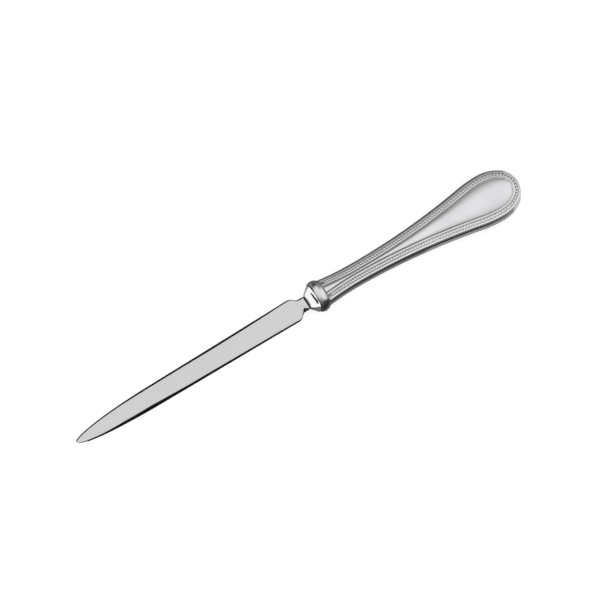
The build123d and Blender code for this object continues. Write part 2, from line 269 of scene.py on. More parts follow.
def card_material(name, level):
    """Even grey that glows a little by itself, so that it looks the same everywhere."""
    material = bpy.data.materials.new(name)
    tree = node_tree(material)
    glow = add(tree, "ShaderNodeEmission", inputs={"Color": grey(level)})
    output = add(tree, "ShaderNodeOutputMaterial")
    tree.links.new(glow.outputs[0], output.inputs["Surface"])
    return material


def mirror_card(name, corners, level):
    """A grey card that shows in reflections only."""
    flag = card(name, corners, card_material(name, level))
    flag.visible_camera = False
    flag.visible_diffuse = False
    flag.visible_shadow = False


def standing_card(name, y, x_range, z_range, level):
    """A card that stands along one side of the opener."""
    (left, right), (foot, top) = x_range, z_range
    mirror_card(name, [(left, y, foot), (right, y, foot), (right, y, top), (left, y, top)], level)


def lying_card(name, corners, level):
    """A card that lies on the floor beside the opener."""
    mirror_card(name, [(x, y, CARD_LIFT) for x, y in corners], level)


def end_card(name, x, y_range, z_range, level):
    """A card that stands across one end of the opener."""
    (near, far), (foot, top) = y_range, z_range
    mirror_card(name, [(x, near, foot), (x, far, foot), (x, far, top), (x, near, top)], level)


soft_box("soft_box_tip", place=(-250, -130, 420), aim=(0, 0, 0), size=(480, 420), power=0.8)
for values in STANDING_CARDS:
    standing_card(*values)
for values in LYING_CARDS:
    lying_card(*values)
mirror_card("tip_lens", [(LENS_X, y, z) for y, z in LENS_OUTLINE], 0.02)
for values in END_CARDS:
    end_card(*values)
card_count = len(STANDING_CARDS) + len(LYING_CARDS) + len(END_CARDS) + 1
print("one soft box and", card_count, "cards are set")

# %% [markdown]
# ## Finishes
# Two effects are shared. The first is grain: fine lines left by the last brush or buff, long in
# the direction of the stroke and very narrow across it. A noise texture stretched that way gives
# them. The second is handling: faint cloudy marks where fingers and cloths have been. Each is a
# node group with its own inputs, so the satin handle and the polished blade can use them at
# different strengths.

# %% Grain and handling groups
def group(name, inputs, outputs):
    """An empty shader node group with named float sockets, and its input and output nodes."""
    tree = bpy.data.node_groups.new(name, "ShaderNodeTree")
    for socket in inputs:
        tree.interface.new_socket(socket, in_out="INPUT", socket_type="NodeSocketFloat")
    for socket in outputs:
        tree.interface.new_socket(socket, in_out="OUTPUT", socket_type="NodeSocketFloat")
    return tree, add(tree, "NodeGroupInput"), add(tree, "NodeGroupOutput")


def grain_group():
    """Lines along X: Along and Across say how many there are to a metre."""
    tree, given, result = group("brushed_grain", ["Along", "Across"], ["Grain"])
    coordinates = add(tree, "ShaderNodeTexCoord")
    scale = add(tree, "ShaderNodeCombineXYZ")
    mapping = add(tree, "ShaderNodeMapping")
    noise = add(tree, "ShaderNodeTexNoise", inputs={"Scale": 1.0, "Detail": 3.0, "Roughness": 0.6})
    tree.links.new(given.outputs["Along"], scale.inputs["X"])
    tree.links.new(given.outputs["Across"], scale.inputs["Y"])
    tree.links.new(given.outputs["Across"], scale.inputs["Z"])
    tree.links.new(coordinates.outputs["Object"], mapping.inputs["Vector"])
    tree.links.new(scale.outputs[0], mapping.inputs["Scale"])
    tree.links.new(mapping.outputs[0], noise.inputs["Vector"])
    tree.links.new(noise.outputs["Fac"], result.inputs["Grain"])
    return tree


def handling_group():
    """Cloudy marks: Size says how many clouds there are to a metre."""
    tree, given, result = group("handling_marks", ["Size"], ["Marks"])
    coordinates = add(tree, "ShaderNodeTexCoord")
    noise = add(tree, "ShaderNodeTexNoise", inputs={"Detail": 5.0, "Roughness": 0.55})
    contrast = add(tree, "ShaderNodeMapRange", inputs={"From Min": 0.35, "From Max": 0.7})
    tree.links.new(coordinates.outputs["Object"], noise.inputs["Vector"])
    tree.links.new(given.outputs["Size"], noise.inputs["Scale"])
    tree.links.new(noise.outputs["Fac"], contrast.inputs["Value"])
    tree.links.new(contrast.outputs[0], result.inputs["Marks"])
    return tree


GRAIN = grain_group()
HANDLING = handling_group()
print("groups:", [g.name for g in (GRAIN, HANDLING)])

# %% [markdown]
# The satin silver of the handle has a cool white colour, a roughness that wavers with the grain,
# and a darkening that is known when the mesh is made, so each point carries it as an attribute.
# It is partly tarnish in the recesses, where no cloth reaches, and partly painted shade, which
# stands in for the shade and dark reflections along edges, joints and hollows. A second
# attribute, called satin, says how far the metal is brushed. The blade's steel has the same build
# with a mirror polish, much finer lines and hardly any marks.

# %% Metal materials
PATINA_ROUGHNESS = 0.25
GRAIN_HEIGHT = 0.00002


def place_group(tree, shared, **values):
    """A shared group placed in a material with its own values."""
    node = add(tree, "ShaderNodeGroup", node_tree=shared)
    for name, value in values.items():
        node.inputs[name].default_value = value
    return node


def rough_range(tree, lines, limits):
    """Roughness that wavers between two limits with the grain."""
    low, high = limits
    waver = {"From Min": 0.3, "From Max": 0.7, "To Min": low, "To Max": high}
    node = add(tree, "ShaderNodeMapRange", inputs=waver)
    tree.links.new(lines.outputs["Grain"], node.inputs["Value"])
    return node


def metal(name, bright, dull, patina_and_shade, polish, satin, grain, marks_size, bump):
    """A metal that is dulled by the marks, darkened by tarnish and painted shade, and rougher where
    it is satin.
    """
    material = bpy.data.materials.new(name)
    tree = node_tree(material)
    lines = place_group(tree, GRAIN, Along=grain[0], Across=grain[1])
    marks = place_group(tree, HANDLING, Size=marks_size)
    darkening_map = add(tree, "ShaderNodeAttribute", attribute_name="patina_and_shade")
    tone = add(tree, "ShaderNodeMix", data_type="RGBA")
    tone.inputs["A"].default_value = (*bright, 1)
    tone.inputs["B"].default_value = (*dull, 1)
    colour = add(tree, "ShaderNodeMix", data_type="RGBA")
    colour.inputs["B"].default_value = (*patina_and_shade, 1)
    finish = add(tree, "ShaderNodeAttribute", attribute_name="satin")
    polished = rough_range(tree, lines, polish)
    brushed = rough_range(tree, lines, satin)
    gloss = add(tree, "ShaderNodeMix", data_type="FLOAT")
    dulled = add(tree, "ShaderNodeMath", operation="MULTIPLY_ADD", use_clamp=True)
    dulled.inputs[1].default_value = PATINA_ROUGHNESS
    relief = add(tree, "ShaderNodeBump", inputs={"Strength": bump, "Distance": GRAIN_HEIGHT})
    shader = add(tree, "ShaderNodeBsdfPrincipled", inputs={"Metallic": 1.0})
    output = add(tree, "ShaderNodeOutputMaterial")
    tree.links.new(marks.outputs["Marks"], tone.inputs["Factor"])
    tree.links.new(tone.outputs["Result"], colour.inputs["A"])
    tree.links.new(darkening_map.outputs["Fac"], colour.inputs["Factor"])
    tree.links.new(colour.outputs["Result"], shader.inputs["Base Color"])
    tree.links.new(finish.outputs["Fac"], gloss.inputs["Factor"])
    tree.links.new(polished.outputs[0], gloss.inputs["A"])
    tree.links.new(brushed.outputs[0], gloss.inputs["B"])
    tree.links.new(darkening_map.outputs["Fac"], dulled.inputs[0])
    tree.links.new(gloss.outputs["Result"], dulled.inputs[2])
    tree.links.new(dulled.outputs[0], shader.inputs["Roughness"])
    tree.links.new(lines.outputs["Grain"], relief.inputs["Height"])
    tree.links.new(relief.outputs[0], shader.inputs["Normal"])
    tree.links.new(shader.outputs[0], output.inputs["Surface"])
    return material


SATIN_SILVER = metal(
    "satin_silver",
    bright=(0.97, 0.968, 0.99), dull=(0.9, 0.9, 0.925), patina_and_shade=(0.1, 0.1, 0.1),
    polish=(0.09, 0.15), satin=(0.22, 0.3), grain=(60, 1800), marks_size=90, bump=0.05,
)
POLISHED_STEEL = metal(
    "polished_steel",
    bright=(0.79, 0.79, 0.781), dull=(0.76, 0.76, 0.752), patina_and_shade=(0.02, 0.02, 0.02),
    polish=(0.03, 0.06), satin=(0.1, 0.2), grain=(60, 5200), marks_size=60, bump=0.05,
)
print("metals:", SATIN_SILVER.name, POLISHED_STEEL.name)

# %% [markdown]
# ## The handle's outline
# Seen from above, the handle narrows to a waist and swells to an oval butt. The outline is a
# chain of arcs that run into each other, the same chain as in the CAD model: the butt's end, its
# corner, the long side, the waist and the flare to the mouth. A point of the handle is found from
# its distance along the bead row and from its inset, so everything on the handle follows the same
# line.

# %% Outline values
WAIST_FROM_MOUTH = 15.0
MOUTH_FLARE = 0.9
BUTT_LENGTH = 13.4
BUTT_FULLNESS = 0.5
BUTT_SIDE_RADIUS = 54.0
SIDE_WIDTH = 0.95
RIM_WIDTH = 0.75
CHANNEL_WIDTH = 1.34
THREAD_GAP = 0.15
THREAD_WIDTH = 0.72
GROOVE_WIDTH = 0.4
PANEL_WAIST = 0.8

RIM_INSET = SIDE_WIDTH + RIM_WIDTH
BEAD_INSET = RIM_INSET + CHANNEL_WIDTH / 2
CHANNEL_INSET = RIM_INSET + CHANNEL_WIDTH
THREAD_INSET = CHANNEL_INSET + THREAD_GAP
GROOVE_INSET = THREAD_INSET + THREAD_WIDTH
BORDER_WIDTH = GROOVE_INSET + GROOVE_WIDTH
WAIST_HALF = BORDER_WIDTH + PANEL_WAIST / 2
X_WAIST = X_MOUTH + WAIST_FROM_MOUTH
X_WIDEST = X_BUTT - BUTT_LENGTH
FLARE_RUN = X_WIDEST - X_WAIST
FLARE_ANGLE = 2 * math.atan((BUTT_HALF - WAIST_HALF) / FLARE_RUN)
WAIST_RADIUS = FLARE_RUN / math.sin(FLARE_ANGLE) - BUTT_SIDE_RADIUS
MOUTH_RADIUS = (WAIST_FROM_MOUTH**2 + MOUTH_FLARE**2) / (2 * MOUTH_FLARE)
OVAL_RADIUS = BUTT_HALF**2 / BUTT_LENGTH
END_RADIUS = OVAL_RADIUS + BUTT_FULLNESS * (BUTT_HALF - OVAL_RADIUS)
CORNER_SPAN = BUTT_LENGTH**2 + BUTT_HALF**2 - 2 * BUTT_LENGTH * END_RADIUS
CORNER_RADIUS = CORNER_SPAN / (2 * (BUTT_HALF - END_RADIUS))
CORNER_ANGLE = math.atan((CORNER_RADIUS - BUTT_HALF) / (BUTT_LENGTH - END_RADIUS))
QUARTER = math.pi / 2

# Centre, radius, start and end angle of each arc on the -Y side, and -1 where the arc bows outwards
OUTLINE = [
    ((X_BUTT - END_RADIUS, 0), END_RADIUS, 0, -CORNER_ANGLE, -1),
    ((X_WIDEST, CORNER_RADIUS - BUTT_HALF), CORNER_RADIUS, -CORNER_ANGLE, -QUARTER, -1),
    (
        (X_WIDEST, BUTT_SIDE_RADIUS - BUTT_HALF), BUTT_SIDE_RADIUS,
        -QUARTER, -QUARTER - FLARE_ANGLE, -1,
    ),
    ((X_WAIST, -WAIST_HALF - WAIST_RADIUS), WAIST_RADIUS, QUARTER - FLARE_ANGLE, QUARTER, 1),
]
MOUTH_ROW = MOUTH_RADIUS + BEAD_INSET
MOUTH_LEAN = math.asin(WAIST_FROM_MOUTH / MOUTH_ROW)


def arc_row(arc):
    """Length of the bead row on one arc."""
    _, radius, start, end, bow = arc
    return (radius + bow * BEAD_INSET) * abs(end - start)


ROW_LENGTH = sum(arc_row(arc) for arc in OUTLINE) + MOUTH_ROW * MOUTH_LEAN


def handle_point(distance, inset):
    """Plan position at a distance from the butt along the bead row and an inset from the side."""
    for arc in OUTLINE:
        (cx, cy), radius, start, end, bow = arc
        if distance <= arc_row(arc):
            angle = start + (end - start) * distance / arc_row(arc)
            reach = radius + bow * inset
            return cx + reach * math.cos(angle), cy + reach * math.sin(angle)
        distance -= arc_row(arc)
    x = X_WAIST - MOUTH_ROW * math.sin(min(distance / MOUTH_ROW, MOUTH_LEAN))
    drop = math.sqrt((MOUTH_RADIUS + inset) ** 2 - (X_WAIST - x) ** 2)
    return x, -WAIST_HALF - MOUTH_RADIUS + drop


print("bead row on one side:", round(ROW_LENGTH, 1), "mm")

# %% [markdown]
# ## The handle's section
# From the seam upwards the section has a rounded side, a plain rim, a channel for the beads, a
# fine raised thread, a groove and the panel. It could be a swept curve, but the beads have to
# grow out of the channel without a crack. So the handle is one grid: a row for each point of the
# section and a column for each step along the border.

# %% Section values and curves
BORDER_HEIGHT = 4.55
RIM_LIFT = 0.06
CHANNEL_DEPTH = 0.3
RIM_STEP = 0.04
THREAD_LIFT = 0.12
GROOVE_DEPTH = 0.35
PANEL_EDGE = 4.55
PANEL_EDGE_DROP = 0.2
PANEL_RISE = 0.15
PANEL_CROWN = 0.45
SHELL_WALL = 0.8
PANEL_HALF = BUTT_HALF - BORDER_WIDTH

# The panel's cushion: how far it falls towards its edge with the square and the fourth power
CUSHION_SQUARE = 0.55
CUSHION_FOURTH = 0.45

# The steps of the side, and the painted shade on its top next to the rim
SIDE_STEPS = 7
SIDE_PAINTED_SHADE = 0.2

# Inset, drop below the rim's top and darkening at the rim's edges: painted shade at the outer
# edge, part tarnish and part painted shade at the inner one
RIM_OUTER_EDGE = [(0.03, 0.45, 0.2), (0.08, 0.22, 0.0), (0.18, 0.13, 0.0)]
RIM_INNER_EDGE = [(-0.1, 0.01, 0.0), (-0.03, 0.0, 0.0), (0.0, 0.1, 0.3)]

# The thread: its foot above the channel, the run and share of its steep edges,
# the run of its rounding, how far its outer side is tilted down, and the darkening along its
# foot, part tarnish and part painted shade
THREAD_FOOT = 0.02
STEEP_RUN = 0.04
STEEP_SHARE = 0.6
ROUND_RUN = 0.12
THREAD_TILT = 0.06
STEEP_TARNISH_AND_SHADE = 0.1
FOOT_TARNISH_AND_SHADE = 0.15
FOOT_GAP_TARNISH_AND_SHADE = 0.5

# The groove's edge below the border, and its part of the groove's darkening
GROOVE_EDGE = 0.05
GROOVE_EDGE_TARNISH_AND_SHADE = 0.4

# Distance from the butt along the bead row with the darkening between the beads, part tarnish
# and part painted shade, its share on their outer side, and the same darkening in the groove
BEAD_GAP_TARNISH_AND_SHADE = [(0, 0.95), (8, 0.85), (15, 0.55), (45, 0.55), (65, 0.8), (95, 0.85)]
OUTER_TARNISH_AND_SHADE = [(0, 0.3), (10, 0.1), (45, 0.1), (65, 0.6), (95, 0.6)]
GROOVE_TARNISH_AND_SHADE = [(0, 0.2), (8, 0.25), (20, 0.6), (40, 0.7), (95, 0.7)]


def between(u, table):
    """A value read from a table, in a straight line from one entry to the next."""
    for (u0, v0), (u1, v1) in zip(table, table[1:]):
        if u <= u1:
            return v0 + (v1 - v0) * (u - u0) / (u1 - u0)
    return table[-1][1]


def border_z(inset):
    """Height of the plain border above the seam."""
    return BORDER_HEIGHT * math.sqrt(1 - (1 - inset / BORDER_WIDTH) ** 2)


def cavity_z(inset):
    """Height of the inside of the shell."""
    share = (BORDER_WIDTH - inset) / (BORDER_WIDTH - SHELL_WALL)
    return (BORDER_HEIGHT - SHELL_WALL) * math.sqrt(1 - share**2)


def panel_z(half, share):
    """Height of the cushioned panel, for its half width and the share of it from the axis."""
    width = min(1.0, half / PANEL_HALF)
    crown = PANEL_RISE + PANEL_CROWN * width
    cushion = 1 - CUSHION_SQUARE * share**2 - CUSHION_FOURTH * share**4
    return PANEL_EDGE - PANEL_EDGE_DROP * width + crown * cushion


FLOOR_LOW = border_z(RIM_INSET) - RIM_STEP
FLOOR_HIGH = border_z(CHANNEL_INSET) - CHANNEL_DEPTH
FLOOR_SLOPE = math.atan2(FLOOR_HIGH - FLOOR_LOW, CHANNEL_WIDTH)


def outer_rows():
    """Inset, height and darkening from the seam up to the bead channel."""
    side = [SIDE_WIDTH * (step / SIDE_STEPS) ** 2 for step in range(SIDE_STEPS + 1)]
    rim_top = border_z(RIM_INSET) + RIM_LIFT
    # The top of the side is darkened next to the rim: painted shade
    rows = [(inset, border_z(inset), SIDE_PAINTED_SHADE * (inset / SIDE_WIDTH) ** 2) for inset in side]
    rows += [(SIDE_WIDTH + inset, rim_top - drop, tarnish_and_shade) for inset, drop, tarnish_and_shade in RIM_OUTER_EDGE]
    rows += [(RIM_INSET + inset, rim_top - drop, tarnish_and_shade) for inset, drop, tarnish_and_shade in RIM_INNER_EDGE]
    return rows


def inner_rows(share, groove_tarnish_and_shade):
    """Inset, height and darkening from the bead channel to the panel, at a share of a bead's cell.
    """
    # Darkening at the thread's foot and in the groove: part tarnish, part painted shade
    tarnish_and_shade = FOOT_TARNISH_AND_SHADE + FOOT_GAP_TARNISH_AND_SHADE * share**2
    top = border_z(CHANNEL_INSET)
    thread = border_z(THREAD_INSET)
    groove = border_z(GROOVE_INSET)
    floor_z = BORDER_HEIGHT - GROOVE_DEPTH
    return [
        (CHANNEL_INSET, top - CHANNEL_DEPTH, tarnish_and_shade),
        (THREAD_INSET, top - CHANNEL_DEPTH + THREAD_FOOT, tarnish_and_shade),
        (THREAD_INSET + STEEP_RUN, thread + STEEP_SHARE * THREAD_LIFT, STEEP_TARNISH_AND_SHADE),
        (THREAD_INSET + ROUND_RUN, groove + THREAD_LIFT - THREAD_TILT, 0.0),
        (GROOVE_INSET - ROUND_RUN, groove + THREAD_LIFT, 0.0),
        (GROOVE_INSET - STEEP_RUN, groove + STEEP_SHARE * THREAD_LIFT, 0.0),
        (GROOVE_INSET, groove - GROOVE_EDGE, GROOVE_EDGE_TARNISH_AND_SHADE * groove_tarnish_and_shade),
        (GROOVE_INSET + STEEP_RUN, floor_z, groove_tarnish_and_shade),
        (BORDER_WIDTH - STEEP_RUN, floor_z, groove_tarnish_and_shade),
    ]


print("section rows:", len(outer_rows()), "outside,", len(inner_rows(0, 0)), "inside the channel")

# %% [markdown]
# ## Beads
# The beads are low domes that nearly touch and get smaller towards the mouth. Each owns a square
# cell of the grid. Inside the cell the grid's squares are bent into rings, the rings are raised
# into a dome, and the outermost ring stays square, so the cell joins its neighbours. The cells
# begin with half a bead at the middle of the butt. The gaps between the beads are darkened, part
# tarnish and part painted shade, more on the side of the thread than on the side of the rim.

# %% Bead cells
BEAD_PITCH_BUTT = 1.36
BEAD_PITCH_MOUTH = 1.07
BEAD_GAP = 0.07
BEAD_STAND = 0.05
BEAD_RISE = 0.16
BEAD_BREADTH = 1.12
BEAD_END = 1.2
BEAD_MARGIN = 0.03
FOOT_RING = 0.999
TINY = 1e-9
CELL_STEPS = 5
PLAIN_STEPS = 6
DOME_SHARE = (CELL_STEPS - 1) / CELL_STEPS

# Darkening across the channel, part tarnish and part painted shade: its share in the middle,
# and how much it grows towards the thread
MIDDLE_TARNISH_AND_SHADE = 0.45
TARNISH_AND_SHADE_GROWTH = 1.1


def beads():
    """Distance along the row and radius of every bead on one side."""
    row = []
    reach = 0.0
    while reach < ROW_LENGTH - BEAD_END:
        pitch = BEAD_PITCH_BUTT + (BEAD_PITCH_MOUTH - BEAD_PITCH_BUTT) * reach / ROW_LENGTH
        row.append((reach, (pitch - BEAD_GAP) / 2))
        reach += pitch
    return row


def cell_point(u, v, length, radius):
    """Offsets along and across the row, height and darkening of one grid point of a bead cell."""
    on_border = max(abs(u), abs(v)) > DOME_SHARE + TINY
    if on_border:
        return u * length, v * CHANNEL_WIDTH / 2, 0.0, 1.0
    p, q = u / DOME_SHARE, v / DOME_SHARE
    round_p = p * math.sqrt(1 - q * q / 2)
    round_q = q * math.sqrt(1 - p * p / 2)
    ring = math.hypot(round_p, round_q)
    if ring < TINY:
        return 0.0, 0.0, BEAD_STAND + BEAD_RISE, 0.0
    spread = math.sin(ring * QUARTER) / ring
    breadth = min(BEAD_BREADTH * radius, CHANNEL_WIDTH / 2 - BEAD_MARGIN)
    on_floor = ring > FOOT_RING
    height = 0.0 if on_floor else BEAD_STAND + BEAD_RISE * math.cos(ring * QUARTER) ** 2
    patina_and_shade = max(0.0, 2 * ring - 1) ** 2
    return round_p * spread * radius, round_q * spread * breadth, height, patina_and_shade


def channel_points(distance, u, length, radius):
    """One column of the channel: plan position, height and darkening from the rim to the thread."""
    points = []
    tarnish_and_shade, least = between(distance, BEAD_GAP_TARNISH_AND_SHADE), between(distance, OUTER_TARNISH_AND_SHADE)
    for step in range(-CELL_STEPS, CELL_STEPS + 1):
        v = step / CELL_STEPS
        shift, side, height, patina_and_shade = cell_point(u, v, length, radius)
        # Darkening between the beads: part tarnish, part painted shade
        patina_and_shade *= tarnish_and_shade * min(max(least, TARNISH_AND_SHADE_GROWTH * v + MIDDLE_TARNISH_AND_SHADE), 1.0)
        inset = BEAD_INSET + side - height * math.sin(FLOOR_SLOPE)
        floor_share = (BEAD_INSET + side - RIM_INSET) / CHANNEL_WIDTH
        floor_z = FLOOR_LOW + (FLOOR_HIGH - FLOOR_LOW) * floor_share
        x, y = handle_point(max(distance + shift, 0.0), inset)
        points.append((x, y, floor_z + height * math.cos(FLOOR_SLOPE), patina_and_shade))
    return points


def columns():
    """Distance of every grid column, and its bead's middle, cell share, half length and radius."""
    row = beads()
    found = []
    for number, (reach, radius) in enumerate(row):
        following = row[number + 1][0] if number + 1 < len(row) else reach + 2 * radius + BEAD_GAP
        before = row[number - 1][0] if number else -following
        for step in range(0 if number == 0 else 1 - CELL_STEPS, CELL_STEPS + 1):
            length = (following - reach if step > 0 else reach - before) / 2
            share = step / CELL_STEPS
            found.append((reach + share * length, reach, share, length, radius))
    last = found[-1][0]
    for step in range(1, PLAIN_STEPS + 1):
        distance = last + (ROW_LENGTH - last) * step / PLAIN_STEPS
        found.append((distance, distance, 1.0, 0.0, row[-1][1]))
    return found


COLUMNS = columns()
print("beads on one side:", len(beads()), "grid columns:", len(COLUMNS))

# %% [markdown]
# ## The two half shells
# A column of the grid runs from the middle of the panel over the border and the side to the seam,
# and back along the inside. Neighbouring columns are joined by faces, the half is mirrored to the
# other side of the handle, and the open end at the mouth is closed. The lower shell is the upper
# one turned over in the plane of the seam.

# %% Shell meshes
PANEL_STEPS = 12
PANEL_CROWDING = 1.6
PANEL_STEP_IN = 0.08
PANEL_STEP_DOWN = 0.07
# Painted shade along the panel's edge
PANEL_EDGE_SHADE = 0.6
INSIDE_STEPS = 3
BORDER_SATIN = 0.5
SILVER_CREASE = 38
WELD = 1e-4
SLIVER = 1e-5


def shell_column(column):
    """Points and darkening of one column, from the panel's middle round to the point under it."""
    distance, bead_middle, share, length, radius = column
    tarnish_and_shade = between(distance, GROOVE_TARNISH_AND_SHADE)
    outer, inner = outer_rows(), inner_rows(share, tarnish_and_shade)
    border = [(*handle_point(distance, inset), z, patina_and_shade) for inset, z, patina_and_shade in outer]
    border += channel_points(bead_middle, share, length, radius)
    border += [(*handle_point(distance, inset), z, patina_and_shade) for inset, z, patina_and_shade in inner]
    edge_x, edge_y = handle_point(distance, BORDER_WIDTH)
    edge_y = min(edge_y, 0.0)
    # Painted shade along the panel's edge, fading towards its middle, where the cushion turns away
    edge_shade = PANEL_EDGE_SHADE * tarnish_and_shade
    shoulder = min(edge_y + PANEL_STEP_IN, 0.0)
    border.append((edge_x, edge_y, panel_z(-shoulder, 1) - PANEL_STEP_DOWN, edge_shade))
    panel = []
    for step in range(PANEL_STEPS + 1):
        outwards = 1 - (step / PANEL_STEPS) ** PANEL_CROWDING
        z = panel_z(-shoulder, outwards)
        panel.append((edge_x, shoulder * outwards, z, edge_shade * outwards**4))
    inside = []
    for step in range(INSIDE_STEPS + 1):
        inset = SHELL_WALL + (BORDER_WIDTH - SHELL_WALL) * (step / INSIDE_STEPS) ** 2
        inside.append((*handle_point(distance, inset), cavity_z(inset), 0.0))
    under = (edge_x, 0.0, BORDER_HEIGHT - SHELL_WALL, 0.0)
    return list(reversed(border + panel)) + inside + [under]


def finish_mesh(name, form, material, crease):
    """A smooth object from a bmesh in millimetres, crisp where faces meet at a sharp angle."""
    bmesh.ops.recalc_face_normals(form, faces=form.faces)
    bmesh.ops.scale(form, vec=(MM, MM, MM), verts=form.verts)
    mesh = bpy.data.meshes.new(name)
    form.to_mesh(mesh)
    form.free()
    mesh.polygons.foreach_set("use_smooth", [True] * len(mesh.polygons))
    mesh.set_sharp_from_angle(angle=math.radians(crease))
    mesh.materials.append(material)
    piece = bpy.data.objects.new(name, mesh)
    bpy.context.scene.collection.objects.link(piece)
    return piece


def half_shell(name, upwards, material):
    """A closed shell: upwards is 1 for the front half and -1 for the back half."""
    form = bmesh.new()
    tint = form.verts.layers.float.new("patina_and_shade")
    satin = form.verts.layers.float.new("satin")
    grid = [shell_column(column) for column in COLUMNS]
    for mirror in (1, -1):
        rows = []
        for points in grid:
            verts = []
            for number, (x, y, z, patina_and_shade) in enumerate(points):
                vert = form.verts.new((x, y * mirror, SEAM_Z + z * upwards))
                vert[tint] = patina_and_shade
                vert[satin] = 1.0 if number <= PANEL_STEPS else BORDER_SATIN
                verts.append(vert)
            rows.append(verts)
        for one, two in zip(rows, rows[1:]):
            for k in range(len(one) - 1):
                form.faces.new((one[k], one[k + 1], two[k + 1], two[k]))
    bmesh.ops.remove_doubles(form, verts=form.verts, dist=WELD)
    bmesh.ops.dissolve_degenerate(form, edges=form.edges, dist=SLIVER)
    open_edges = [edge for edge in form.edges if edge.is_boundary]
    bmesh.ops.holes_fill(form, edges=open_edges)
    return finish_mesh(name, form, material, SILVER_CREASE)


front = half_shell("handle_front", 1, SATIN_SILVER)
back = half_shell("handle_back", -1, SATIN_SILVER)
for piece, node in ((front, "front_shell"), (back, "back_shell")):
    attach(piece, "root")
    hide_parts(node)
    print(piece.name, len(piece.data.vertices), "points", len(piece.data.polygons), "faces")

# %% [markdown]
# ## Collar
# The collar is a domed ring, a little wider than the handle's mouth. Its section is turned about
# the axis and flattened to the handle's oval. The hole through it is the slot for the tang, so
# the inner points lie on a rectangle and not on an oval. A plug at the back centres it in the
# handle. Its joints are darkened by tarnish, and its front slope and front joint get painted
# shade at the sides, which stands in for the dark reflections there, with only a little on top.

# %% Collar mesh
COLLAR_LENGTH = X_MOUTH - X_COLLAR
TURN_STEPS = 144
SLOT_HALF = (2.2, 1.5)
PLUG_HALF = (4.31, 3.65)
PLUG_LENGTH = 3.0
JOINT_LENGTH = 0.3
JOINT_FILM = 0.9
HIDDEN_FILM = 0.5

# Where the painted shade begins at the sides, how fast it grows there, and what is left on top
JOINT_SHADE_START = 0.1
SLOPE_SHADE_START = 0.55
SIDE_SHADE_RUN = 0.3
TOP_SHADE_SHARE = 0.15

# Place along the axis, radius as a share of the widest ring, and darkening: tarnish in the
# joints and painted shade on the front slope
COLLAR_SECTION = [
    (0.0, 0.845, 0.9), (0.03, 0.9, 0.85), (0.12, 0.925, 0.85), (0.4, 0.948, 0.85), (0.8, 0.97, 0.8),
    (1.2, 0.986, 0.65), (1.6, 0.996, 0.35), (2.0, 1.0, 0.1), (2.4, 0.996, 0.0), (2.8, 0.985, 0.0),
    (3.2, 0.965, 0.0), (3.55, 0.94, 0.0), (3.8, 0.915, 0.1), (3.95, 0.89, 0.5), (4.0, 0.865, 0.9),
    (COLLAR_LENGTH, 0.86, 0.9),
]


def on_rectangle(angle, half):
    """The point of a rectangle's edge in a direction from its middle."""
    c, s = math.cos(angle), math.sin(angle)
    reach = min(half[0] / max(abs(c), TINY), half[1] / max(abs(s), TINY))
    return reach * c, reach * s


def side_shade_share(angle, start):
    """Share of the painted shade at an angle round the axis: little on top, all at a side."""
    grown = min(max((abs(math.cos(angle)) - start) / SIDE_SHADE_RUN, 0.0), 1.0)
    return TOP_SHADE_SHARE + (1 - TOP_SHADE_SHARE) * grown


def collar_loop(angle):
    """Points of the collar's closed section at one angle round the axis."""
    c, s = math.cos(angle), math.sin(angle)
    loop = []
    for place, share, patina_and_shade in COLLAR_SECTION:
        if place < COLLAR_LENGTH / 2:
            # Painted shade: the front half is darker at the sides than on top
            patina_and_shade *= side_shade_share(angle, JOINT_SHADE_START if place < JOINT_LENGTH else SLOPE_SHADE_START)
        y, z = share * COLLAR_HALF * c, share * COLLAR_HALF_THICK * s
        loop.append((X_COLLAR + place, y, z, patina_and_shade))
    plug_y, plug_z = PLUG_HALF[0] * c, PLUG_HALF[1] * s
    slot_y, slot_z = on_rectangle(angle, SLOT_HALF)
    loop.append((X_MOUTH, plug_y, plug_z, JOINT_FILM))
    loop.append((X_MOUTH + PLUG_LENGTH, plug_y, plug_z, HIDDEN_FILM))
    loop.append((X_MOUTH + PLUG_LENGTH, slot_y, slot_z, HIDDEN_FILM))
    loop.append((X_COLLAR, slot_y, slot_z, HIDDEN_FILM))
    return loop


def skin(loops, rolled, finish):
    """A closed form from equal loops side by side: rolled into a ring or capped at both ends."""
    form = bmesh.new()
    tint = form.verts.layers.float.new("patina_and_shade")
    satin = form.verts.layers.float.new("satin")
    rings = []
    for loop in loops:
        ring = []
        for x, y, z, patina_and_shade in loop:
            vert = form.verts.new((x, y, SEAM_Z + z))
            vert[tint] = patina_and_shade
            vert[satin] = finish
            ring.append(vert)
        rings.append(ring)
    following = rings[1:] + rings[:1] if rolled else rings[1:]
    for one, two in zip(rings, following):
        for k in range(len(one)):
            m = (k + 1) % len(one)
            form.faces.new((one[k], one[m], two[m], two[k]))
    if not rolled:
        form.faces.new(rings[0])
        form.faces.new(rings[-1])
    return form


collar_loops = [collar_loop(2 * math.pi * step / TURN_STEPS) for step in range(TURN_STEPS)]
collar_form = skin(collar_loops, rolled=True, finish=1.0)
collar = finish_mesh("collar_ring", collar_form, SATIN_SILVER, SILVER_CREASE)
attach(collar, "root")
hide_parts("collar")
print(collar.name, len(collar.data.vertices), "points")

# %% [markdown]
# ## Blade, bolster and tang
# They are one forging. Along it, the section changes from a thin bar with two bevelled edges to
# the rounded block of the bolster and then to the plain bar of the tang. Every section has the
# same number of points, so the forging is one skin from tip to tang. The near bevel is ground
# widest in the middle of the blade.

